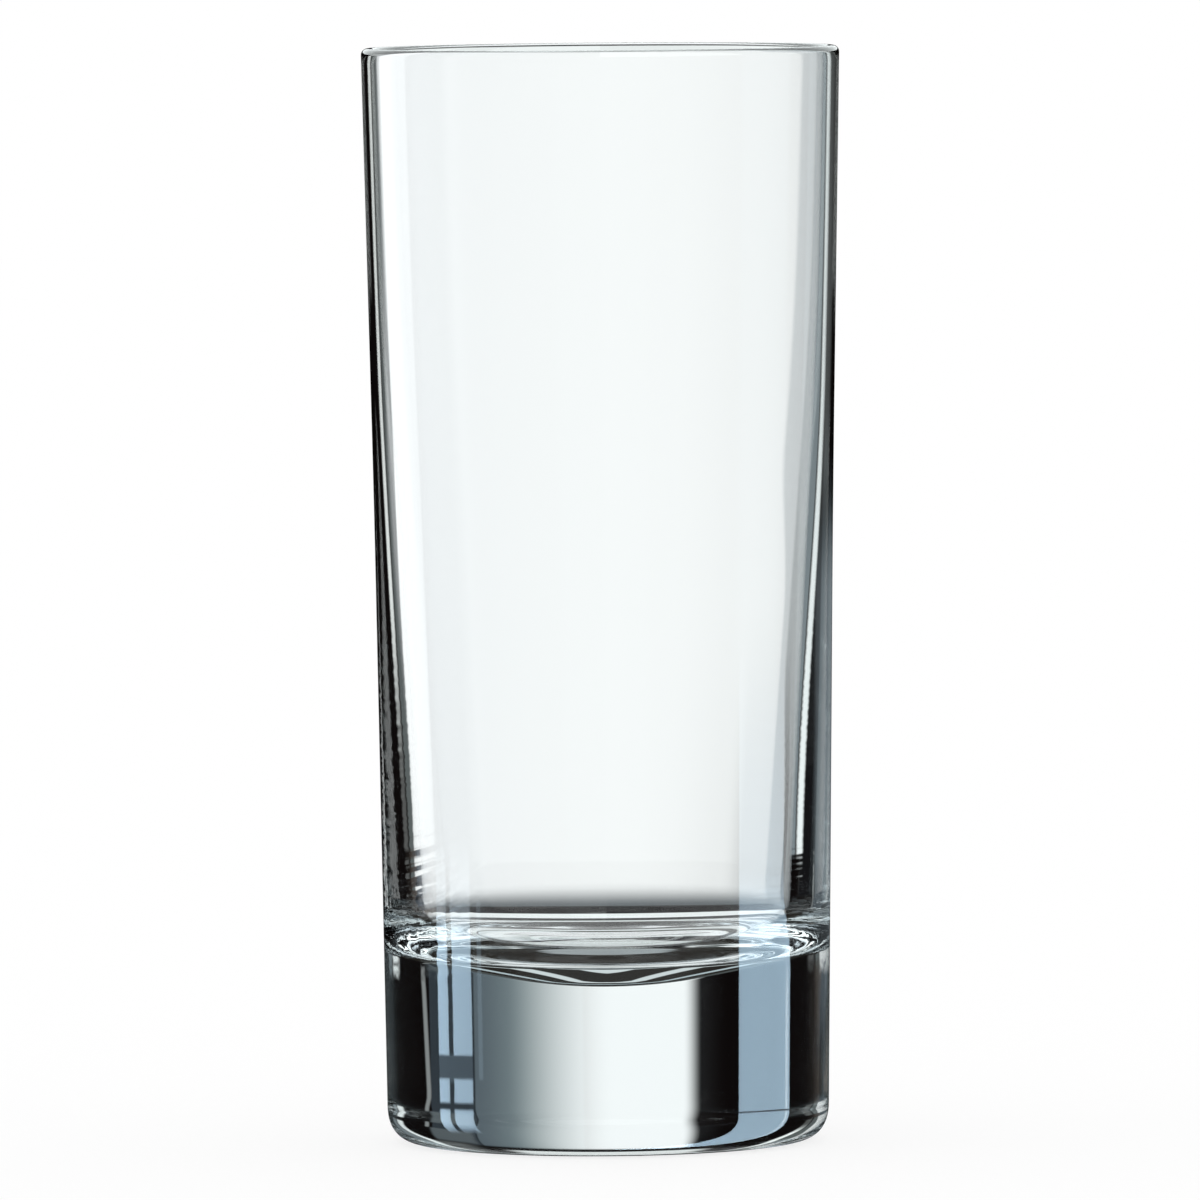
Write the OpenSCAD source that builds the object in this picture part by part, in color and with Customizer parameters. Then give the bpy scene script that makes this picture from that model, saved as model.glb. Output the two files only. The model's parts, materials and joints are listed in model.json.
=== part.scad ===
// Highball glass with a heavy base, pressed and blown in one piece of clear glass.
// It is one turned section: the foot stands on z = 0, z is the axis and the mouth
// opens upwards. Millimetres.

/* [Rim] */
// Outside diameter across the rim
rim_d = 65; // [60:0.5:80]
// Thickness of the wall at the rim
rim_wall = 2; // [1.4:0.1:3]
// Rounding of each edge of the fire-polished rim
rim_round = 0.9; // [0.3:0.1:1.4]

/* [Side] */
// Height from the table to the top of the rim
glass_h = 149; // [125:0.5:190]
// Height at which the side starts to flare a little more
waist_h = 88; // [60:1:100]
// How far the side is drawn in there from a straight line between foot and rim
waist_draw = 0.25; // [0:0.05:1.5]
// Outside diameter of the side carried down to the table
foot_d = 60; // [54:0.5:70]
// Rounding between the side and the foot
foot_round = 3.2; // [1:0.1:5]

/* [Cavity] */
// Height below which the wall thickens
knee_h = 112; // [104:1:120]
// Thickness of the wall there
knee_wall = 2.3; // [1.6:0.1:3.4]
// Thickness of the wall where it meets the level of the floor
heel_wall = 5.6; // [3.5:0.1:7]
// Inside radius that leads the wall into the floor
heel_round = 8; // [4:0.5:12]
// How much higher the floor would meet the wall than it lies in the middle
floor_rise = 4.7; // [1:0.1:7]
// Distance from the axis at which the rising floor levels out into its middle
floor_level_r = 4.3; // [2:0.1:6]

/* [Base] */
// Thickness of the base under the middle of the floor
base_h = 21.9; // [10:0.1:30]
// Width of the ring that the glass stands on
ring_w = 3; // [1.5:0.1:6]
// Depth of the hollow inside that ring
punt_depth = 1.2; // [0.4:0.1:3]

/* [Hidden] */

// Steps in one bend of the section, and sides of the turned glass
bend_steps = 12;
turn_fn = 180;

// A rounding of the rim is never more than this share of the wall
rim_round_share = 0.48;

// Reach of the long, soft bends of the side and of the inside wall, to each side of the corner
waist_reach = 13;
knee_reach = 16;

// The hollow under the foot is a shallow dome: place of its bend and reach of its two bends,
// as shares of its radius and of the ring's width
punt_bend_share = 0.45;
punt_roof_share = 0.4;
punt_edge_share = 0.3;

rim_r = rim_d / 2;
foot_r = foot_d / 2;
rim_edge = min(rim_round, rim_wall * rim_round_share);
punt_r = foot_r - foot_round - ring_w;
waist_r = foot_r + (rim_r - foot_r) * waist_h / glass_h - waist_draw;

// Outside radius of the side at a height
function side_r(h) = h < waist_h
    ? foot_r + (waist_r - foot_r) * h / waist_h
    : waist_r + (rim_r - waist_r) * (h - waist_h) / (glass_h - waist_h);

// Unit vector from a to b
function towards(a, b) = (b - a) / norm(b - a);

// Turning angle of a path that runs from a over b to c
function turning(a, b, c) =
    let(u = towards(a, b), v = towards(b, c))
    atan2(u.x * v.y - u.y * v.x, u * v);

// Rounds the corner b between a and c with an arc of radius r, tangent to both sides
function arc_bend(a, b, c, r) =
    let(
        turn = turning(a, b, c),
        first = b + towards(b, a) * r * tan(abs(turn) / 2),
        across = [a.y - b.y, b.x - a.x] / norm(b - a) * sign(turn),
        middle = first + across * r,
        arm = first - middle
    )
    [for (i = [0 : bend_steps])
        let(angle = turn * i / bend_steps)
        middle + [arm.x * cos(angle) - arm.y * sin(angle),
                  arm.x * sin(angle) + arm.y * cos(angle)]];

// Eases the corner b over a reach to each side of it, with a parabola tangent to both sides
function soft_bend(a, b, c, reach) =
    let(first = b + towards(b, a) * reach, last = b + towards(b, c) * reach)
    [for (i = [0 : bend_steps])
        let(t = i / bend_steps)
        first * (1 - t) * (1 - t) + b * 2 * t * (1 - t) + last * t * t];

// The corners of the section, from the hollow under the foot, up the side, over the rim and
// down to the middle of the floor: radius, height, arc radius or 0, soft reach or 0
corners = [
    [0, punt_depth, 0, 0],
    [punt_r * punt_bend_share, punt_depth, 0, punt_r * punt_roof_share],
    [punt_r, 0, 0, ring_w * punt_edge_share],
    [foot_r, 0, foot_round, 0],
    [waist_r, waist_h, 0, waist_reach],
    [rim_r, glass_h, rim_edge, 0],
    [rim_r - rim_wall, glass_h, rim_edge, 0],
    [side_r(knee_h) - knee_wall, knee_h, 0, knee_reach],
    [side_r(base_h) - heel_wall, base_h + floor_rise, heel_round, 0],
    [floor_level_r, base_h, 0, floor_level_r],
    [0, base_h, 0, 0],
];

// The place of corner i
function place(i) = [corners[i][0], corners[i][1]];

// The section with its corners eased, ready to turn about the axis
function section() =
    [for (i = [0 : len(corners) - 1])
        each (corners[i][2] > 0 ? arc_bend(place(i - 1), place(i), place(i + 1), corners[i][2])
            : corners[i][3] > 0 ? soft_bend(place(i - 1), place(i), place(i + 1), corners[i][3])
            : [place(i)])];

// The whole glass: side, heavy base, bowl-shaped floor and rim
module highball_glass() {
    color("aliceblue", 0.35)
        rotate_extrude($fn = turn_fn)
            polygon(section());
}

highball_glass();
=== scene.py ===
# %% [markdown]
# # A highball glass, dressed for its photograph
#
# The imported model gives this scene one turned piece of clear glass, at its real size.
# Clear glass has no colour of its own to paint: what the eye reads as its shape is the
# room behind and beside it, bent by the wall and the heavy base. So this script spends
# its effort on three things. The first is a very smooth glass with true arcs. The second
# is the small ripples and waves that pressing leaves. The third is a studio of panels,
# dark flags and windows that the glass can bend, as a photographer of glass would set.

# %% Load the frame
import json
import math
import bmesh
import bpy
from mathutils import Matrix, Vector

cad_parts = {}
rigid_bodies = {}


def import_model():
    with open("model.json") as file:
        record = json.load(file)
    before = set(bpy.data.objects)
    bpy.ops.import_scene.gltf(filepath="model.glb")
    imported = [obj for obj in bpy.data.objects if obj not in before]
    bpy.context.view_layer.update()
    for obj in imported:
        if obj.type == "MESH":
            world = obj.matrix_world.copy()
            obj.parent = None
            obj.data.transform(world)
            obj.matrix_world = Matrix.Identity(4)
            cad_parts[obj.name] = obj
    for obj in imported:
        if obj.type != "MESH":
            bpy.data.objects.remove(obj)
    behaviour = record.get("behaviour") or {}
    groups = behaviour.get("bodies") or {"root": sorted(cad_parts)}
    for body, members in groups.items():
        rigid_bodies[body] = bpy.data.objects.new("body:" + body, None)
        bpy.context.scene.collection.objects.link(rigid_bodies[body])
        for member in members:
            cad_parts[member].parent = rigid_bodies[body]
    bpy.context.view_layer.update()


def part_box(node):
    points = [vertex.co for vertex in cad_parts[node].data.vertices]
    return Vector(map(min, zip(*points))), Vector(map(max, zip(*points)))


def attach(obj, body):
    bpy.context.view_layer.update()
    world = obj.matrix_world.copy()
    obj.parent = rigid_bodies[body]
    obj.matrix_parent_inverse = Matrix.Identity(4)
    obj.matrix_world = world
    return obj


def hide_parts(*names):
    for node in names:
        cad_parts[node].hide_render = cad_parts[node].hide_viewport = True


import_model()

MM = 0.001
GLASS = "highball_glass"
low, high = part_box(GLASS)
side_d = high.x - low.x
glass_h = high.z - low.z
print("frame: side %.2f mm across, glass %.1f mm high" % (side_d / MM, glass_h / MM))

# %% [markdown]
# ## Node maths as formulas
#
# A node tree for a surface or a shape is mostly arithmetic. Drawn as nodes it is hard to
# read, so two small classes let the script write it as Python. `Value` wraps one socket:
# a sum or a product of such values adds the Math node that does it. `Graph` adds every
# other kind of node, with its settings first and the values or links of its sockets next.

# %% Two helpers for node trees
class Value:
    """One output socket, in formulas that add Math nodes."""

    def __init__(self, graph, socket):
        self.graph, self.socket = graph, socket

    def math(self, operation, *others):
        return self.graph.math(operation, self, *others)

    def __add__(self, other):
        return self.math("ADD", other)

    def __sub__(self, other):
        return self.math("SUBTRACT", other)

    def __mul__(self, other):
        return self.math("MULTIPLY", other)

    def __truediv__(self, other):
        return self.math("DIVIDE", other)

    def __radd__(self, other):
        return self.graph.math("ADD", other, self)

    def __rsub__(self, other):
        return self.graph.math("SUBTRACT", other, self)

    def __rmul__(self, other):
        return self.graph.math("MULTIPLY", other, self)

    def __rtruediv__(self, other):
        return self.graph.math("DIVIDE", other, self)


class Graph:
    """A node tree, with one way to add any node."""

    def __init__(self, tree):
        self.tree = tree

    def plug(self, socket, value):
        if isinstance(value, Value):
            self.tree.links.new(value.socket, socket)
        elif value is not None:
            socket.default_value = value

    def add(self, kind, settings=None, inputs=None, output=0):
        node = self.tree.nodes.new(kind)
        for name, setting in (settings or {}).items():
            setattr(node, name, setting)
        for key, value in (inputs or {}).items():
            self.plug(node.inputs[key], value)
        return Value(self, node.outputs[output]) if len(node.outputs) else None

    def math(self, operation, *values):
        return self.add("ShaderNodeMath", {"operation": operation}, dict(enumerate(values)))

    def out(self, node_value, output):
        return Value(self, node_value.socket.node.outputs[output])

    def smooth(self, value, start, end):
        """0 before start, 1 after end, and an easy slope between."""
        return self.add("ShaderNodeMapRange", {"interpolation_type": "SMOOTHSTEP"},
                        {"Value": value, "From Min": start, "From Max": end})

    def xyz(self, x, y, z):
        return self.add("ShaderNodeCombineXYZ", None, {"X": x, "Y": y, "Z": z})

    def mix(self, factor, first, second):
        """Between two colours."""
        node = self.tree.nodes.new("ShaderNodeMix")
        node.data_type = "RGBA"
        for key, value in ((0, factor), (6, first), (7, second)):
            self.plug(node.inputs[key], value)
        return Value(self, node.outputs[2])


print("helpers: Value and Graph")

# %% [markdown]
# ## The glass, turned on a lathe of nodes
#
# A tumbler is blown and pressed in a round mould, so one section turned about the axis
# gives all of it. A Spin or a Screw modifier could turn it too. Geometry Nodes suit it
# better, because each size stays a named input. The section is a polyline of corners,
# with a parabola in small steps at the foot. Fillet Curve gives each corner its true arc,
# and Curve to Mesh sweeps the line round. The sweep only makes the grid of faces. A
# formula then puts each point at its radius and angle, so the two poles lie exactly on
# the axis and merge into one point each.
#
# The sizes are the same driving sizes as in the solid model, and the height comes from
# the frame. Only the foot differs: its parabola stays within half a millimetre of the
# solid's arc.

# %% Sizes of the section
RIM_D = 65 * MM
RIM_WALL = 2.0 * MM
RIM_ROUND = 0.9 * MM
WAIST_H = 88 * MM
WAIST_DRAW = 0.25 * MM
WAIST_REACH = 13 * MM
FOOT_D = 60 * MM
FOOT_REACH = 5 * MM
FOOT_STEPS = 16
KNEE_H = 112 * MM
KNEE_WALL = 2.3 * MM
KNEE_REACH = 16 * MM
HEEL_WALL = 5.6 * MM
HEEL_ROUND = 8 * MM
FLOOR_RISE = 4.7 * MM
FLOOR_LEVEL_R = 4.3 * MM
BASE_H = 21.9 * MM
PUNT_R = 23.8 * MM
PUNT_EDGE = 0.9 * MM
PUNT_DEPTH = 1.2 * MM
PUNT_BEND_SHARE = 0.45
PUNT_ROOF_SHARE = 0.4

# Faces round the glass, faces along one arc of the section, and length of a face on the walls
AROUND = 224
ARC_FACES = 14
WALL_FACE = 1.1 * MM
MOST_CUTS = 400
# Points closer than this are one point, in metres
WELD = 2e-7
# A corner that hardly turns counts as one that turns this much
LEAST_TURN = 1e-6

print("section: wall %.1f to %.1f mm, base %.1f mm" % (RIM_WALL / MM, HEEL_WALL / MM, BASE_H / MM))


# %% Named inputs of the lathe
def size_inputs(tree, sizes):
    """Adds one named input per size and gives each as a Value of the Group Input."""
    graph = Graph(tree)
    group = tree.nodes.new("NodeGroupInput")
    values = {}
    for name, (kind, start) in sizes.items():
        socket = tree.interface.new_socket(name, in_out="INPUT", socket_type=kind)
        if start is not None:
            socket.default_value = start
        values[name] = Value(graph, group.outputs[name])
    return graph, values


LENGTH, COUNT = "NodeSocketFloat", "NodeSocketInt"
LATHE_SIZES = {
    "Geometry": ("NodeSocketGeometry", None),
    "Rim diameter": (LENGTH, RIM_D),
    "Height": (LENGTH, glass_h),
    "Rim wall": (LENGTH, RIM_WALL),
    "Rim rounding": (LENGTH, RIM_ROUND),
    "Waist height": (LENGTH, WAIST_H),
    "Waist draw": (LENGTH, WAIST_DRAW),
    "Foot diameter": (LENGTH, FOOT_D),
    "Foot reach": (LENGTH, FOOT_REACH),
    "Knee height": (LENGTH, KNEE_H),
    "Knee wall": (LENGTH, KNEE_WALL),
    "Heel wall": (LENGTH, HEEL_WALL),
    "Heel rounding": (LENGTH, HEEL_ROUND),
    "Base height": (LENGTH, BASE_H),
    "Floor rise": (LENGTH, FLOOR_RISE),
    "Floor level radius": (LENGTH, FLOOR_LEVEL_R),
    "Punt radius": (LENGTH, PUNT_R),
    "Punt depth": (LENGTH, PUNT_DEPTH),
    "Faces around": (COUNT, AROUND),
    "Faces in an arc": (COUNT, ARC_FACES),
    "Glass": ("NodeSocketMaterial", None),
}
print("lathe: %d named inputs" % len(LATHE_SIZES))


# %% Corners of the section
def index_switch(graph, kind, choices):
    """The value whose number in the list is the index of the point."""
    index = graph.add("GeometryNodeInputIndex")
    node = graph.tree.nodes.new("GeometryNodeIndexSwitch")
    node.data_type = kind
    while len(node.index_switch_items) < len(choices):
        node.index_switch_items.new()
    graph.plug(node.inputs[0], index)
    for number, choice in enumerate(choices):
        graph.plug(node.inputs[number + 1], choice)
    return Value(graph, node.outputs[0])


def foot_bend(foot_r, lean, reach):
    """A parabola from the ring to the side: an arc would start and end with a crease of light."""
    steps = [1 - i / FOOT_STEPS for i in range(FOOT_STEPS + 1)]
    return [(foot_r + reach * (lean * (1 - t) ** 2 - t ** 2), reach * (1 - t) ** 2, 0.0, 0.0) for t in steps]


def section_corners(graph, size):
    """Radius, height, arc radius and soft reach of each corner, from under the foot to the floor."""
    rim_r = size["Rim diameter"] / 2
    foot_r = size["Foot diameter"] / 2
    height = size["Height"]
    waist_h = size["Waist height"]
    punt_r = size["Punt radius"]
    waist_r = foot_r + (rim_r - foot_r) * waist_h / height - size["Waist draw"]
    knee_side = waist_r + (rim_r - waist_r) * (size["Knee height"] - waist_h) / (height - waist_h)
    heel_side = foot_r + (waist_r - foot_r) * size["Base height"] / waist_h
    punt, base = size["Punt depth"], size["Base height"]
    return [
        (0.0, punt, 0.0, 0.0),
        (punt_r * PUNT_BEND_SHARE, punt, 0.0, punt_r * PUNT_ROOF_SHARE),
        (punt_r, 0.0, 0.0, PUNT_EDGE),
        *foot_bend(foot_r, (waist_r - foot_r) / waist_h, size["Foot reach"]),
        (waist_r, waist_h, 0.0, WAIST_REACH),
        (rim_r, height, size["Rim rounding"], 0.0),
        (rim_r - size["Rim wall"], height, size["Rim rounding"], 0.0),
        (knee_side - size["Knee wall"], size["Knee height"], 0.0, KNEE_REACH),
        (heel_side - size["Heel wall"], base + size["Floor rise"], size["Heel rounding"], 0.0),
        (size["Floor level radius"], base, 0.0, size["Floor level radius"]),
        (0.0, base, 0.0, 0.0),
    ]


print("foot: %d steps over %.0f mm" % (FOOT_STEPS, FOOT_REACH / MM))


# %% Round corners
def beside(graph, value, step):
    """The value at the point before (-1) or after (1) on the curve."""
    index = graph.add("GeometryNodeInputIndex")
    count = graph.add("GeometryNodeOffsetPointInCurve", None,
                      {"Point Index": index, "Offset": step}, output=1)
    return graph.add("GeometryNodeFieldAtIndex", {"data_type": "FLOAT_VECTOR", "domain": "POINT"},
                     {"Index": count, "Value": value})


def vector_math(graph, operation, first, second=None):
    inputs = {0: first}
    if second is not None:
        inputs[1] = second
    scalar = operation in ("DOT_PRODUCT", "LENGTH", "DISTANCE")
    return graph.add("ShaderNodeVectorMath", {"operation": operation}, inputs, output=1 if scalar else 0)


def rounded_section(graph, size):
    """The section as a fine polyline with round corners, in the XY plane: X is radius, Y is height."""
    corners = section_corners(graph, size)
    line = graph.add("GeometryNodeCurvePrimitiveLine")
    line = graph.add("GeometryNodeResampleCurve", None, {"Curve": line, "Count": len(corners)})
    places = index_switch(graph, "VECTOR", [graph.xyz(r, z, 0.0) for r, z, arc, reach in corners])
    line = graph.add("GeometryNodeSetPosition", None, {"Geometry": line, "Position": places})
    # A soft corner's radius follows from its reach: reach / tan(turn / 2)
    here = graph.add("GeometryNodeInputPosition")
    came = vector_math(graph, "NORMALIZE", vector_math(graph, "SUBTRACT", here, beside(graph, here, -1)))
    goes = vector_math(graph, "NORMALIZE", vector_math(graph, "SUBTRACT", beside(graph, here, 1), here))
    sine = vector_math(graph, "LENGTH", vector_math(graph, "CROSS_PRODUCT", came, goes))
    half_turn = sine / (1.0 + vector_math(graph, "DOT_PRODUCT", came, goes))
    arcs = index_switch(graph, "FLOAT", [arc for r, z, arc, reach in corners])
    reaches = index_switch(graph, "FLOAT", [reach for r, z, arc, reach in corners])
    radius = arcs + reaches / half_turn.math("MAXIMUM", LEAST_TURN)
    line = graph.add("GeometryNodeFilletCurve", {"mode": "POLY"},
                     {"Curve": line, "Radius": radius, "Count": size["Faces in an arc"]})
    return line


print("corners: %d faces along each arc" % ARC_FACES)


# %% The lathe tree
def lathe_tree():
    tree = bpy.data.node_groups.new("turned glass", "GeometryNodeTree")
    graph, size = size_inputs(tree, LATHE_SIZES)
    section = rounded_section(graph, size)
    # Long walls get short faces too, so that their light bends evenly
    here = graph.add("GeometryNodeInputPosition")
    reach = vector_math(graph, "DISTANCE", here, beside(graph, here, 1))
    cuts = (reach / WALL_FACE).math("FLOOR").math("MINIMUM", MOST_CUTS)
    section = graph.add("GeometryNodeSubdivideCurve", None, {"Curve": section, "Cuts": cuts})
    # The section keeps its radius and height, the round path its angle
    place = graph.add("ShaderNodeSeparateXYZ", None, {0: graph.add("GeometryNodeInputPosition")})
    radius, height = graph.out(place, 0), graph.out(place, 1)
    section = graph.add("GeometryNodeStoreNamedAttribute", {"data_type": "FLOAT"},
                        {"Geometry": section, "Name": "turned_radius", "Value": radius})
    section = graph.add("GeometryNodeStoreNamedAttribute", {"data_type": "FLOAT"},
                        {"Geometry": section, "Name": "turned_height", "Value": height})
    circle = graph.add("GeometryNodeCurvePrimitiveCircle", None,
                       {"Resolution": size["Faces around"], "Radius": 1.0})
    index = graph.add("GeometryNodeInputIndex")
    turn = index * (2 * math.pi) / size["Faces around"]
    circle = graph.add("GeometryNodeStoreNamedAttribute", {"data_type": "FLOAT"},
                       {"Geometry": circle, "Name": "turned_angle", "Value": turn})
    grid = graph.add("GeometryNodeCurveToMesh", None, {"Curve": circle, "Profile Curve": section})

    def attribute(name):
        return graph.add("GeometryNodeInputNamedAttribute", {"data_type": "FLOAT"}, {"Name": name})

    radius, height, turn = attribute("turned_radius"), attribute("turned_height"), attribute("turned_angle")
    spot = graph.xyz(radius * turn.math("COSINE"), radius * turn.math("SINE"), height)
    grid = graph.add("GeometryNodeSetPosition", None, {"Geometry": grid, "Position": spot})
    grid = graph.add("GeometryNodeMergeByDistance", None, {"Geometry": grid, "Distance": WELD})
    grid = graph.add("GeometryNodeSetShadeSmooth", None, {"Geometry": grid})
    for name in ("turned_radius", "turned_height", "turned_angle"):
        grid = graph.add("GeometryNodeRemoveAttribute", None, {"Geometry": grid, "Name": name})
    grid = graph.add("GeometryNodeRealizeInstances", None, {"Geometry": grid})
    grid = graph.add("GeometryNodeSetMaterial", None, {"Geometry": grid, "Material": size["Glass"]})
    tree.interface.new_socket("Geometry", in_out="OUTPUT", socket_type="NodeSocketGeometry")
    out = tree.nodes.new("NodeGroupOutput")
    tree.links.new(grid.socket, out.inputs[0])
    return tree


lathe = lathe_tree()
print("lathe tree: %d nodes" % len(lathe.nodes))


# %% Turn the glass
def set_inputs(modifier, values):
    """Sets a modifier's inputs by each socket's identifier."""
    for item in modifier.node_group.interface.items_tree:
        if item.item_type == "SOCKET" and item.in_out == "INPUT" and item.name in values:
            modifier[item.identifier] = values[item.name]


def solid_mesh(obj):
    """The evaluated object as a plain mesh, with the modifier gone."""
    depsgraph = bpy.context.evaluated_depsgraph_get()
    mesh = bpy.data.meshes.new_from_object(obj.evaluated_get(depsgraph))
    obj.modifiers.clear()
    obj.data = mesh


clear_glass = bpy.data.materials.new("clear_glass")
glass = bpy.data.objects.new("glass", bpy.data.meshes.new("glass"))
bpy.context.collection.objects.link(glass)
turning = glass.modifiers.new("lathe", "NODES")
turning.node_group = lathe
set_inputs(turning, {"Height": glass_h, "Glass": clear_glass})
solid_mesh(glass)


def volume_of(mesh):
    """Signed volume: above zero when the faces point outwards."""
    mesh.calc_loop_triangles()
    total = 0.0
    for tri in mesh.loop_triangles:
        a, b, c = (mesh.vertices[i].co for i in tri.vertices)
        total += a.dot(b.cross(c)) / 6
    return total


if volume_of(glass.data) < 0:
    glass.data.flip_normals()
print("glass: %d faces, %.0f cubic mm, reach %s" % (
    len(glass.data.polygons), volume_of(glass.data) / MM ** 3, [round(v / MM, 2) for v in glass.dimensions]))

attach(glass, "root")
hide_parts(GLASS)

# %% [markdown]
# ## Clear glass
#
# Soda-lime glass bends light by an index of about 1.52 and takes away a little of it on
# the way, mostly red, so a thick base looks faintly cool. Index, transmission and
# absorption are the same all over, so they sit on their shaders' own sockets.
#
# Three things change over the surface. A slow wave runs through all of the skin. Beside
# the two seams of the mould the hot wall froze in fine ripples, and in a mottle at the
# height of the heel. The ring under the foot has scuffs from standing. The ripples could
# be modelled, but they are hundredths of a millimetre deep, so a bump does as well.

# %% Sizes of the marks in the skin
CHILL_DEPTH = 0.05 * MM
WAVE_DEPTH = 0.004 * MM
SEAM_START, SEAM_END = 18 * MM, 23 * MM
RIPPLE_LENGTH = 22 * MM
RIPPLE_PITCH = 1.4 * MM
RIPPLE_SLANT = 0.5
RIGHT_SHARE = 0.4
MARKS_SHARE = 0.6
# How many blotches of noise fit in a metre, for each kind of mark
MOTTLE_SCALE = 480.0
WAVE_SCALE = 45.0
SCUFF_SCALE = 900.0
SCUFF_HEIGHT = 0.12 * MM
SCUFF_ROUGHNESS = 0.35
GLASS_INDEX = 1.52
HAZE_TINT = (0.72, 0.90, 0.92, 1.0)
HAZE_DENSITY = 2.0

print("skin: waves %.3f mm and ripples %.2f mm deep" % (WAVE_DEPTH / MM, CHILL_DEPTH / MM))


# %% The glass material
def chill_marks(graph, place, height):
    """Ripples and mottling by the two seams of the mould, strongest where the wall meets the base."""
    split = graph.add("ShaderNodeSeparateXYZ", None, {0: place})
    across, depth = graph.out(split, 0), graph.out(split, 1)
    left = graph.smooth(across * -1.0, SEAM_START, SEAM_END)
    right = graph.smooth(across, SEAM_START, SEAM_END) * RIGHT_SHARE
    # On the left the ripples are deeper and run aslant
    risen = height - (across + 17 * MM).math("MINIMUM", 0.0) * RIPPLE_SLANT
    spot = graph.xyz(across / RIPPLE_LENGTH, depth / RIPPLE_LENGTH, risen / RIPPLE_PITCH)
    ripples = graph.add("ShaderNodeTexNoise", None, {"Vector": spot, "Scale": 1.0, "Detail": 1.0})
    wall = graph.smooth(height, 24 * MM, 30 * MM) * (1.0 - graph.smooth(height, 40 * MM, 84 * MM))
    mottle = graph.add("ShaderNodeTexNoise", None, {"Vector": place, "Scale": MOTTLE_SCALE, "Detail": 1.0})
    heel = graph.smooth(height, 22 * MM, 25 * MM) * (1.0 - graph.smooth(height, 30 * MM, 40 * MM))
    return (ripples * wall * MARKS_SHARE + mottle * heel * MARKS_SHARE) * (left + right)


def glass_material(material):
    material.use_nodes = True
    graph = Graph(material.node_tree)
    graph.tree.nodes.clear()
    place = graph.add("ShaderNodeTexCoord", None, None, output="Object")
    height = graph.out(graph.add("ShaderNodeSeparateXYZ", None, {0: place}), 2)
    scuffs = graph.add("ShaderNodeTexNoise", None, {"Vector": place, "Scale": SCUFF_SCALE, "Detail": 3.0})
    foot = 1.0 - graph.smooth(height, 0.02 * MM, SCUFF_HEIGHT)
    worn = graph.smooth(scuffs, 0.5, 0.7) * foot
    wave = graph.add("ShaderNodeTexNoise", None, {"Vector": place, "Scale": WAVE_SCALE, "Detail": 0.0})
    marks = chill_marks(graph, place, height) + wave * (WAVE_DEPTH / CHILL_DEPTH)
    bump = graph.add("ShaderNodeBump", None, {"Strength": 1.0, "Distance": CHILL_DEPTH, "Height": marks})
    shader = graph.add("ShaderNodeBsdfPrincipled", None, {
        "Base Color": (1.0, 1.0, 1.0, 1.0),
        "Roughness": worn * SCUFF_ROUGHNESS,
        "IOR": GLASS_INDEX,
        "Transmission Weight": 1.0,
        "Normal": bump,
    })
    haze = graph.add("ShaderNodeVolumeAbsorption", None, {"Color": HAZE_TINT, "Density": HAZE_DENSITY})
    end = graph.tree.nodes.new("ShaderNodeOutputMaterial")
    graph.plug(end.inputs["Surface"], shader)
    graph.plug(end.inputs["Volume"], haze)


glass_material(clear_glass)
print("material:", clear_glass.name)

# %% [markdown]
# ## The studio: a light tent
#
# Clear glass shows what stands round it, so the studio is most of its finish. Makers of
# such pictures put the glass in a tent of cloth and clip cards and flags to it. Separate
# panels could do this too, but they would show through each other. This tent is one drum
# with round ends, close round the glass, and only bent and mirrored rays see it. The
# camera itself looks past it at the floor and a white room.
#
# A card's place is two numbers: its turn, in degrees to the right of straight behind the
# glass, and its level, in millimetres above the table. The tent is close on purpose. The
# base then looks at the cards near the table and the side at the cards above them, so
# each can be set by itself.

# %% The tent's shape
TENT_R = 150 * MM
TENT_LOW, TENT_HIGH = -20 * MM, 170 * MM
DARK = (0.004, 0.003, 0.003, 1.0)
WHITE = (0.99, 1.03, 1.03, 1.0)
PALE = (0.92, 0.95, 0.96, 1.0)


def tent_mesh(name, around=128, end_rings=24, weld=1e-6):
    """A drum with round ends, turned about the axis."""
    profile = []
    for i in range(end_rings):
        angle = math.pi / 2 * (1 - i / end_rings)
        profile.append((TENT_R * math.cos(angle), TENT_LOW - TENT_R * math.sin(angle)))
    for i in range(end_rings + 1):
        angle = math.pi / 2 * i / end_rings
        profile.append((TENT_R * math.cos(angle), TENT_HIGH + TENT_R * math.sin(angle)))
    mesh = bmesh.new()
    rings = []
    for radius, height in profile:
        ring = []
        for k in range(around):
            angle = 2 * math.pi * k / around
            ring.append(mesh.verts.new((radius * math.cos(angle), radius * math.sin(angle), height)))
        rings.append(ring)
    for below, above in zip(rings, rings[1:]):
        for k in range(around):
            j = (k + 1) % around
            mesh.faces.new((below[k], below[j], above[j], above[k]))
    bmesh.ops.remove_doubles(mesh, verts=mesh.verts, dist=weld)
    data = bpy.data.meshes.new(name)
    mesh.to_mesh(data)
    mesh.free()
    return data


print("tent: %.0f mm across, from %.0f to %.0f mm" % (
    2 * TENT_R / MM, (TENT_LOW - TENT_R) / MM, (TENT_HIGH + TENT_R) / MM))


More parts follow.
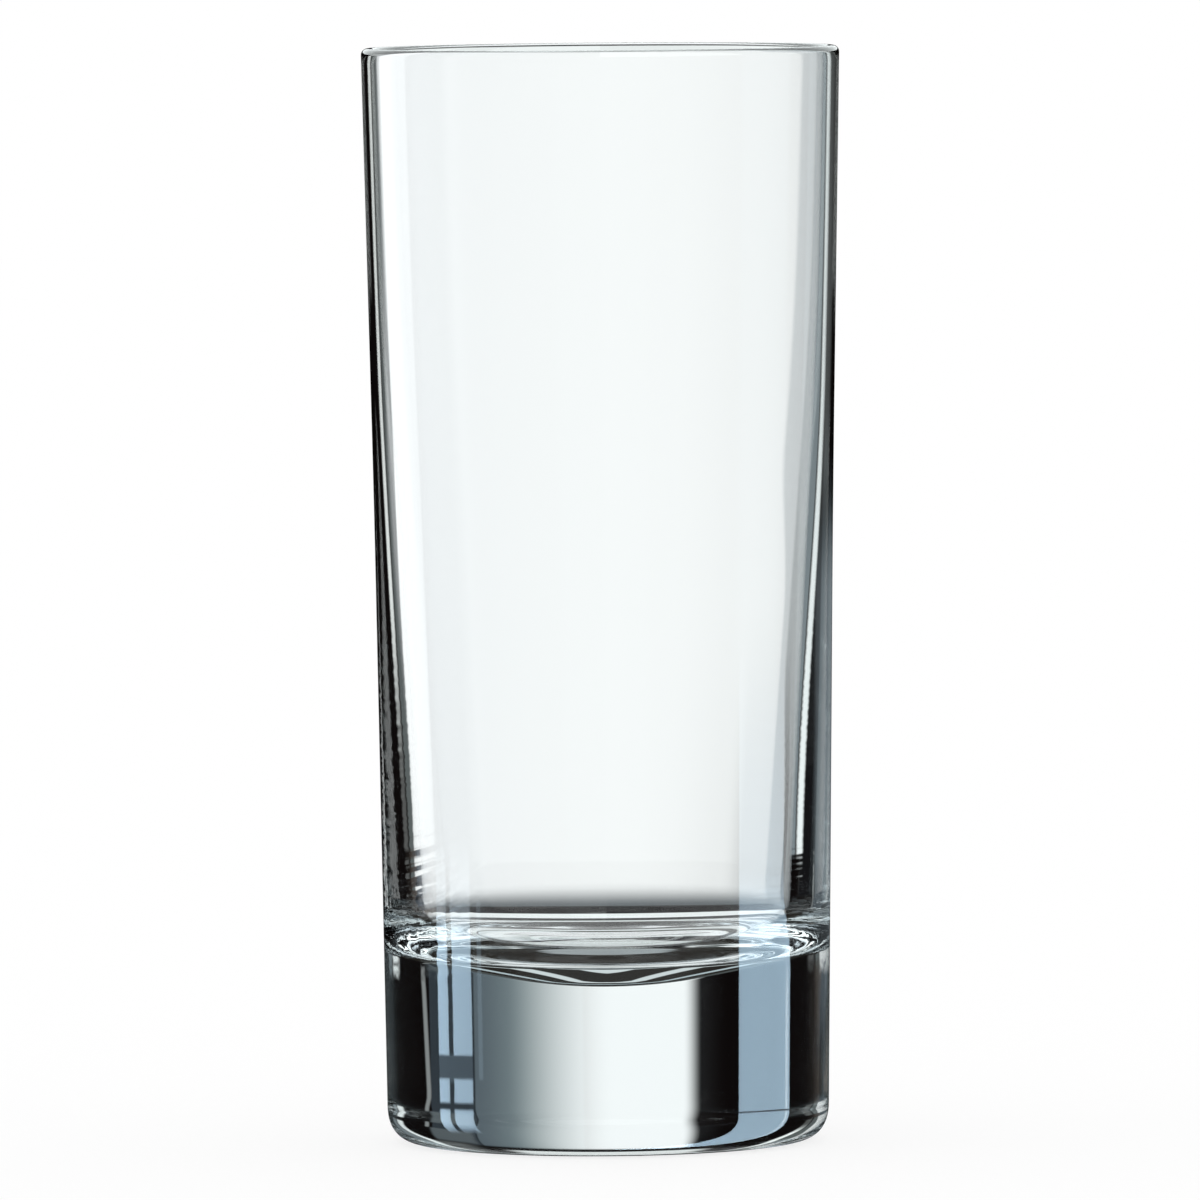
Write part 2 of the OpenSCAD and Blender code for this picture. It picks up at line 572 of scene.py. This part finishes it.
# %% Places on the tent
class Tent(Graph):
    """The tent's material: the place that a ray meets, and masks for cards there."""

    def __init__(self, tree):
        super().__init__(tree)
        tree.nodes.clear()
        self.place = self.add("ShaderNodeTexCoord", None, None, output="Object")
        split = self.add("ShaderNodeSeparateXYZ", None, {0: self.place})
        x, y, z = (self.out(split, i) for i in range(3))
        self.turn = x.math("ARCTAN2", y) * (180 / math.pi)
        self.away = self.turn.math("ABSOLUTE")
        self.level = z / MM

    def flat(self, colour):
        value = self.add("ShaderNodeRGB")
        value.socket.default_value = colour
        return value

    def between(self, value, start, end, soft):
        """1 from start to end, with soft edges."""
        begun = self.smooth(value, start - soft, start + soft)
        return begun * (1.0 - self.smooth(value, end - soft, end + soft))

    def strip(self, start, end, soft=0.5):
        return self.between(self.turn, start, end, soft)

    def band(self, low, high, soft=1.0):
        return self.between(self.level, low, high, soft)

    def noise(self, scale, stretch, detail=2.0):
        """Soft blotches, from 0 to 1."""
        spot = self.add("ShaderNodeVectorMath", {"operation": "MULTIPLY"}, {0: self.place, 1: stretch})
        return self.add("ShaderNodeTexNoise", None, {"Vector": spot, "Scale": scale, "Detail": detail})


print("helper: Tent, with turn and level as values")

# %% [markdown]
# ### What the base and the edges show
#
# A ray that goes in and out of the glass once has met only the base or the edge of the
# wall. It is bent far to the side there. The base turns its picture round, so the white
# panel with its sharp left edge shows that edge on the right, and the panel's soft right
# edge becomes the long grey shade on the left. The dark flags beside the panel draw the
# black flanks, and two slanting light lines run up the edges of the wall.
#
# Planes hung inside the tent could be these cards. Masks of turn and level are easier to
# move by a number, and their soft edges cost nothing.

# %% Cards that the base shows
def cards_of_base(tent):
    turn, level = tent.turn, tent.level
    colour = tent.flat(DARK)
    # Faint brown and blue things in the dark room
    blotch = tent.noise(30.0, (1.0, 1.0, 1.4))
    brown = tent.flat((0.30, 0.25, 0.21, 1.0))
    tinge = tent.mix(tent.smooth(blotch, 0.42, 0.6), brown, (0.17, 0.21, 0.25, 1.0))
    depth = tent.smooth(tent.noise(42.0, (1.0, 1.0, 1.0)), 0.36, 0.66)
    faint = tent.smooth(turn * -1.0, 43, 74) * (0.2 + depth * 0.9)
    colour = tent.mix(faint, colour, tinge)
    faint = tent.smooth(turn, 50, 78) * depth * 0.05
    colour = tent.mix(faint, colour, tinge)
    colour = tent.mix(tent.strip(20.2, 33, 0.3), colour, (0.035, 0.045, 0.055, 1.0))
    grey = tent.mix(tent.smooth(turn, 6, 20), tent.flat((0.22, 0.28, 0.29, 1.0)), (0.105, 0.135, 0.155, 1.0))
    colour = tent.mix(tent.strip(3, 20, 0.3), colour, grey)
    panel = tent.smooth(turn, -12.6, -9.7) * (1.0 - tent.smooth(turn, -1, 14))
    colour = tent.mix(panel, colour, WHITE)
    # A thin light line, a little aslant
    line = tent.between(turn - level * 0.09, 33.2, 34.9, 0.5)
    colour = tent.mix(line, colour, (0.26, 0.28, 0.28, 1.0))
    return tent.mix(tent.smooth(level, 14.5, 17.5), colour, cards_of_wall_edge(tent, colour))


print("cards of the base: panel, grey shade, flags and a light line")


# %% Cards that the wall's edge shows
def cards_of_wall_edge(tent, below):
    turn, level = tent.turn, tent.level
    side = tent.smooth(tent.away, 22, 24)
    colour = tent.mix(side, below, DARK)
    # A dark sheet high up behind the glass, and a pale card on it that the rim shows
    high = tent.smooth(level, 62, 78) * (1.0 - tent.smooth(tent.away, 33, 36))
    colour = tent.mix(high, colour, DARK)
    rim = tent.smooth(level, 96, 106) * (1.0 - tent.smooth(tent.away, 13, 19))
    colour = tent.mix(rim, colour, (0.84, 0.89, 0.88, 1.0))
    hazy = tent.strip(21, 34, 1.0) * (1.0 - tent.smooth(level, 50, 72))
    colour = tent.mix(hazy, colour, (0.10, 0.12, 0.13, 1.0))
    # The right line and the grey beyond it
    centre = 54.5 - 15.5 * tent.smooth(level, 22, 88)
    colour = tent.mix(tent.between(turn, centre + 4.5, 64, 1.0), colour, (0.24, 0.29, 0.31, 1.0))
    colour = tent.mix(tent.between(turn, centre - 3.6, centre + 2.8, 1.6), colour, (1.02, 1.11, 1.11, 1.0))
    colour = tent.mix(tent.strip(24, 36, 4.0) * tent.smooth(level, 60, 76), colour, (0.12, 0.13, 0.13, 1.0))
    # The left line, the grey beyond it and a white card at its end
    centre = 48.3 - 13.0 * tent.smooth(level, 0, 90)
    left = turn * -1.0
    colour = tent.mix(tent.between(left, centre + 4.0, 60, 1.0), colour, (0.13, 0.15, 0.15, 1.0))
    bright = tent.between(left, centre - 2.4, centre + 2.4, 1.3) * (0.1 + 0.9 * tent.smooth(level, 26, 58))
    colour = tent.mix(bright, colour, (1.08, 1.14, 1.12, 1.0))
    edge = 55.5 - 4.5 * tent.smooth(level, 20, 62)
    return tent.mix(tent.between(left, edge, 76, 1.0), colour, WHITE)


print("cards of the wall's edge: two light lines, greys and a white end")

# %% [markdown]
# ### What the upper part shows
#
# A ray through the upper part passes two walls and is hardly bent. It sees wide white
# cloth straight behind. To the right the cloth falls into a cool shade, most of all low
# down. Towards the table the cloth ends softly, and rings of light and dark lie under it:
# the bowl of the floor looks down at them and bends them into its bright and dark curves.

# %% Rings under the table's edge
def rings(tent, colour, edges):
    """Lays rings on the lower cloth, each from one level to another with its colour."""
    for start, end, tint in edges:
        colour = tent.mix(tent.band(start, end, 0.4), colour, tint + (1.0,))
    return colour


def rings_of_base(tent):
    """The base's own view down is dark, with a few light rings."""
    dark = tent.flat((0.02, 0.018, 0.015, 1.0))
    light = rings(tent, dark, ((-30, -12, (0.07, 0.08, 0.08)),))
    risen = tent.level - tent.away * 0.6
    light = tent.mix(tent.between(risen, -73.3, -69.0, 0.3), light, (0.66, 0.73, 0.74, 1.0))
    light = tent.mix(tent.between(risen, -56, -50, 0.5), light, (0.46, 0.55, 0.58, 1.0))
    colour = tent.mix(tent.smooth(tent.away, 28, 40), light, dark)
    near = tent.band(-180, -150, 6.0) * tent.smooth(tent.away, 88, 92)
    return tent.mix(near, colour, (0.32, 0.36, 0.37, 1.0))


def rings_of_bowl(tent):
    """What the bowl of the floor looks down at."""
    dark = tent.flat((0.012, 0.01, 0.01, 1.0))
    light = rings(tent, dark, (
        (-14, -8, (0.14, 0.165, 0.17)), (-70, -36, (0.95, 1.02, 1.02)), (-136, -106, (0.75, 0.82, 0.82))))
    middle = tent.band(-98, -70, 0.6) * (1.0 - tent.smooth(tent.turn, -12, -4))
    light = tent.mix(middle, light, (0.72, 0.80, 0.82, 1.0))
    return tent.mix(tent.smooth(tent.away, 36, 50), light, dark)


print("rings: two sets, for the base and for the bowl")


# %% Cards that the body shows
def cards_of_body(tent):
    turn, level = tent.turn, tent.level
    colour = tent.flat((1.0, 1.035, 1.03, 1.0))
    colour = tent.mix(1.0 - tent.smooth(turn, -22, 2), colour, (0.96, 1.0, 1.01, 1.0))
    low = 1.0 - tent.smooth(level, 20, 60)
    # The cloth turns away from the light in three folds on the right
    first = tent.smooth(turn, 3, 13) * (0.03 + 0.05 * low) + tent.smooth(turn, 12.5, 16.5) * low * 0.20
    colour = tent.mix(first, colour, (0.0, 0.0, 0.0, 1.0))
    second = 24 - 4.5 * tent.smooth(level, 54, 80)
    second = tent.smooth(turn - second, -0.8, 0.8) * 0.36
    colour = tent.mix(second, colour, (0.10, 0.16, 0.20, 1.0))
    third = turn - (34 - 7 * tent.smooth(level, 20, 48))
    colour = tent.mix(tent.smooth(third, -1, 1) * 0.5, colour, (0.10, 0.13, 0.14, 1.0))
    seam = tent.between(third, 0, 4, 0.7) * (1.0 - tent.smooth(level, 20, 56))
    colour = tent.mix(seam * 0.85, colour, (0.03, 0.03, 0.03, 1.0))
    # Towards the table the cloth ends
    fall = 1.0 - tent.smooth(level, -14, 20)
    return tent.mix(fall, colour, (0.12, 0.14, 0.15, 1.0))


print("cards of the body: wide cloth with three folds")

# %% [markdown]
# ### What the skin mirrors
#
# The skin mirrors a few hundredths of the light, so only very bright things show in it: a
# tall window on the right, and on the left a lower one with bars. Above the left window a
# wide soft light fills the left edge of the wall, and white cloth above the glass lights
# the round of the rim. Area lamps could draw the same shapes, but each would light the
# floor as well. Cards that only mirrored rays see leave it alone.

# %% Windows
def right_window(tent, colour):
    """Sky low down, fading upwards, with a sill near the table."""
    turn, level = tent.turn, tent.level
    pane = tent.mix(tent.smooth(level, 12, 29), tent.flat((5.8, 8.1, 10.0, 1.0)), (1.9, 2.5, 3.0, 1.0))
    pane = tent.mix(tent.smooth(level, 28, 64), pane, (0.15, 0.2, 0.25, 1.0))
    pane = tent.mix((1.0 - tent.smooth(turn, 80, 112)) * 0.27, pane, DARK)
    rim = tent.strip(81.5, 83.2, 0.4) * (1.0 - tent.smooth(level, 8, 16)) * 0.4
    pane = tent.mix(rim, pane, (11.0, 12.5, 13.0, 1.0))
    pane = tent.mix(tent.band(-9.2, -8.3, 0.2), pane, (1.2, 1.6, 1.9, 1.0))
    edge = 79.9 + 5.5 * tent.smooth(level, 14, 24)
    inside = tent.smooth(turn - edge, -0.5, 0.5) * (1.0 - tent.smooth(turn, 114.2, 115.2))
    return tent.mix(inside, colour, pane)


def left_window(tent, colour):
    """Two panes beside a bar, a gap, and small panes below it."""
    level = tent.level
    upper = tent.smooth(level, 0.6, 1.2) * (1.0 - tent.smooth(level, 15, 24) * 0.8)
    upper = upper * (1.0 - tent.smooth(level, 24, 33))
    lower = (1.0 - tent.smooth(level, -7.2, -6.6)) * tent.smooth(level, -70, -25)
    lower = tent.band(-5.9, -2.5, 0.35) + lower
    panes = tent.strip(-97.3, -90.2) + tent.strip(-112.2, -100.4)
    sky = tent.mix(tent.smooth(level, 14, 26), tent.flat((5.6, 7.8, 9.7, 1.0)), (6.8, 8.0, 8.8, 1.0))
    colour = tent.mix(tent.strip(-112.2, -90.2) * tent.band(-3, 1, 0.3) * 0.12, colour, sky)
    colour = tent.mix(panes * (upper + lower), colour, sky)
    return tent.mix(tent.strip(-118.2, -115.8) * tent.band(-2.5, 23, 0.35) * 0.14, colour, sky)


print("windows: right and left")


# %% Cards that the skin mirrors
def cards_in_mirror(tent):
    turn, level = tent.turn, tent.level
    colour = tent.flat(DARK)
    colour = tent.mix(tent.smooth(tent.away, 120, 150), colour, (0.25, 0.26, 0.27, 1.0))
    # White cloth above the glass, for the round of the rim
    colour = tent.mix(tent.smooth(level, 156, 162), colour, (1.5, 1.6, 1.6, 1.0))
    # The soft light on the left, above the window
    edge = 77 - 23 * tent.smooth(level, 20, 95)
    left = turn * -1.0
    soft = tent.smooth(left, edge - 3, edge + 3) * tent.smooth(level, 19, 26)
    colour = tent.mix(soft, colour, (1.7, 1.72, 1.76, 1.0))
    colour = tent.mix(soft * tent.smooth(left, 74, 130), colour, (0.15, 0.16, 0.17, 1.0))
    hazy = tent.strip(20, 56, 3.0) * tent.band(20, 74, 8.0)
    colour = tent.mix(hazy, colour, (0.28, 0.33, 0.36, 1.0))
    return left_window(tent, right_window(tent, colour))


print("mirrored cards: soft light, haze and the windows")

# %% [markdown]
# ### All cards on one cloth
#
# Light Path's Transmission Depth counts the skins that a ray has passed: two for the base
# and the wall's edge, four for the body. Its Glossy Depth counts how often the ray was
# tossed back inside the glass. So one material on one drum holds a set of cards for each
# part of the glass. The heel, where the thin wall runs into the base, tosses light about
# more often than any other part and has a set of its own. That set is painted light: for
# rays tossed back four times or more it shows white brighter than the cloth, in streaks,
# in place of the light that they would gather inside the heel.
#
# The photo never shows the cloth beside and behind the camera, so it is plain there:
# pale, with soft grey flags. From other sides the glass then reads as clear glass too.

# %% Cloth beside and behind the camera, and the painted light of the heel
def back_of_tent(tent, body):
    """Beside and behind the camera: a panel and dark cloth each quarter turn, and pale cloth for the body."""
    quarter = (tent.away - 90).math("ABSOLUTE")
    aside = quarter.math("MINIMUM", 180 - tent.away)
    panel = (1.0 - tent.smooth(aside, 8, 16)) * (1.0 - tent.smooth(tent.level, 8, 16))
    base = tent.mix(1.0 - tent.smooth(aside, 18, 24), tent.flat(DARK), (0.11, 0.14, 0.15, 1.0))
    base = tent.mix(panel, base, (0.18, 0.2, 0.21, 1.0))
    return tent.mix(body, base, PALE)


def cloth_beside(tent, body):
    """What straight rays see when someone looks at the glass from another side: pale cloth and grey flags."""
    flags = tent.smooth(tent.noise(9.0, (1.0, 1.0, 0.15), 0.0), 0.44, 0.54)
    base = tent.mix(flags, tent.flat((0.34, 0.40, 0.43, 1.0)), (0.94, 0.98, 0.98, 1.0))
    cloth = tent.mix(body, base, PALE)
    low = tent.smooth(tent.level * -1.0, 40, 110) * 0.35
    return tent.mix(low, cloth, (0.30, 0.33, 0.35, 1.0))


def painted_heel_light(tent):
    """Painted light, in streaks, in place of light that the heel tosses about many times before it gets out.
    """
    # Painted light: dark bands, and between them white brighter than the cloth
    flags = tent.band(-170, -85, 3.0) + tent.band(-30, -6, 2.0)
    flags = flags + tent.band(26, 56, 3.0) + tent.band(112, 150, 3.0)
    white = tent.flat((1.7, 1.8, 1.8, 1.0))
    colour = tent.mix(tent.smooth(tent.level, 40, 110), white, (0.95, 1.05, 1.12, 1.0))
    colour = tent.mix(flags, colour, DARK)
    ends = tent.smooth((tent.away - 90).math("ABSOLUTE"), 50, 64)
    return tent.mix(ends, colour, DARK)


print("other sides: pale cloth, grey flags and the light of the heel")


# %% The tent in one material
def tent_material():
    material = bpy.data.materials.new("light_tent")
    material.use_nodes = True
    tent = Tent(material.node_tree)
    path = tent.add("ShaderNodeLightPath", None, None, output="Is Transmission Ray")
    passes = Value(tent, path.socket.node.outputs["Transmission Depth"])
    mirrored = Value(tent, path.socket.node.outputs["Glossy Depth"])
    body = tent.smooth(passes, 2.6, 3.4)
    colour = tent.mix(body, cards_of_base(tent), cards_of_body(tent))
    far = tent.smooth(tent.away, 78, 84)
    straight = far * (1.0 - tent.smooth(mirrored, 0.3, 0.7))
    colour = tent.mix(far, colour, back_of_tent(tent, body))
    below = tent.mix(body, rings_of_base(tent), rings_of_bowl(tent))
    colour = tent.mix(1.0 - tent.smooth(tent.level, -15, -12), colour, below)
    above = tent.mix(body, tent.flat((0.12, 0.13, 0.13, 1.0)), (0.62, 0.66, 0.66, 1.0))
    colour = tent.mix(tent.smooth(tent.level, 185, 215), colour, above)
    # Rays that pass straight, seen from another side
    colour = tent.mix(straight * tent.smooth(tent.level, -122, -112), colour, cloth_beside(tent, body))
    # Painted light for rays tossed back four times or more, most of them in the heel
    colour = tent.mix(tent.smooth(mirrored, 3.6, 4.4), colour, painted_heel_light(tent))
    colour = tent.mix(path, cards_in_mirror(tent), colour)
    light = tent.add("ShaderNodeEmission", None, {"Color": colour, "Strength": 1.0})
    end = tent.tree.nodes.new("ShaderNodeOutputMaterial")
    tent.plug(end.inputs["Surface"], light)
    return material


tent_cloth = bpy.data.objects.new("light_tent", tent_mesh("light_tent"))
tent_cloth.data.materials.append(tent_material())
bpy.context.collection.objects.link(tent_cloth)
tent_cloth.visible_camera = False
tent_cloth.visible_diffuse = False
tent_cloth.visible_shadow = False
print("tent: %d nodes in its material" % len(tent_cloth.data.materials[0].node_tree.nodes))

# %% [markdown]
# ## The floor and the world
#
# The glass stands on a white sheet in a white room. A plain white sheet would turn grey
# near the glass and the horizon, so four fifths of its white is light of its own, and the
# rest takes the soft shadow. Bent and mirrored rays leave the sheet out, because the tent
# holds all that they see.
#
# Light is tossed about many times in the heel before it gets out. Cycles paints black
# what is still inside after a few bounces, so this scene allows it more.

# %% The floor
FLOOR_SIDE = 8.0
FLOOR_DROP = 0.05 * MM
OWN_LIGHT = 0.8
PURE_WHITE = (1.0, 1.0, 1.0, 1.0)


def floor_material():
    material = bpy.data.materials.new("pale_floor")
    material.use_nodes = True
    graph = Graph(material.node_tree)
    graph.tree.nodes.clear()
    sheet = graph.add("ShaderNodeBsdfDiffuse", None, {"Color": PURE_WHITE})
    white = graph.add("ShaderNodeEmission", None, {"Color": PURE_WHITE, "Strength": 1.0})
    mixed = graph.add("ShaderNodeMixShader", None, {0: OWN_LIGHT, 1: sheet, 2: white})
    end = graph.tree.nodes.new("ShaderNodeOutputMaterial")
    graph.plug(end.inputs["Surface"], mixed)
    return material


half = FLOOR_SIDE / 2
floor_mesh = bpy.data.meshes.new("floor")
floor_mesh.from_pydata([(-half, -half, -FLOOR_DROP), (half, -half, -FLOOR_DROP),
                        (half, half, -FLOOR_DROP), (-half, half, -FLOOR_DROP)], [], [(0, 1, 2, 3)])
floor = bpy.data.objects.new("floor", floor_mesh)
floor_mesh.materials.append(floor_material())
bpy.context.collection.objects.link(floor)
floor.visible_glossy = False
floor.visible_transmission = False
print("floor: %.1f m each way" % FLOOR_SIDE)


# %% The world
def white_world():
    world = bpy.data.worlds.new("white")
    world.use_nodes = True
    graph = Graph(world.node_tree)
    graph.tree.nodes.clear()
    white = graph.add("ShaderNodeBackground", None, {"Color": PURE_WHITE, "Strength": 1.0})
    end = graph.tree.nodes.new("ShaderNodeOutputWorld")
    graph.plug(end.inputs["Surface"], white)
    return world


scene = bpy.context.scene
scene.cycles.max_bounces = 32
scene.cycles.transmission_bounces = 16
scene.cycles.glossy_bounces = 24
scene.world = white_world()
scene.view_settings.view_transform = "Standard"
print("world: white, with up to %d bounces of light" % scene.cycles.max_bounces)

# %% [markdown]
# ## The camera
#
# The two ellipses of rim and foot give the camera's height and distance, and the way the
# sides lean in the picture gives its small roll. The picture was taken from far away with
# a long lens, so the sides look almost parallel. The camera could be aimed by a
# constraint, but three angles state its pose exactly.

# %% The camera
CAMERA_BACK = 2.197
CAMERA_UP = 0.1865
CAMERA_PITCH = math.radians(2.938)
CAMERA_PAN = math.radians(-0.0152)
CAMERA_ROLL = math.radians(0.45)
PICTURE_SIDE = 1200
FOCAL_PIXELS = 16170
SENSOR_WIDTH = 36.0

ahead = Vector((math.sin(CAMERA_PAN) * math.cos(CAMERA_PITCH),
                math.cos(CAMERA_PAN) * math.cos(CAMERA_PITCH), -math.sin(CAMERA_PITCH)))
level = Vector((math.cos(CAMERA_PAN), -math.sin(CAMERA_PAN), 0.0))
upright = level.cross(ahead)
right = level * math.cos(CAMERA_ROLL) - upright * math.sin(CAMERA_ROLL)
up = level * math.sin(CAMERA_ROLL) + upright * math.cos(CAMERA_ROLL)

lens = bpy.data.cameras.new("camera")
lens.sensor_width = SENSOR_WIDTH
lens.lens = SENSOR_WIDTH * FOCAL_PIXELS / PICTURE_SIDE
lens.clip_end = 100.0
camera = bpy.data.objects.new("camera", lens)
turned = Matrix((right, up, -ahead)).transposed().to_4x4()
camera.matrix_world = Matrix.Translation((0.0, -CAMERA_BACK, CAMERA_UP)) @ turned
bpy.context.collection.objects.link(camera)
scene.camera = camera
print("camera: %.0f mm lens at %.2f m" % (lens.lens, CAMERA_BACK))
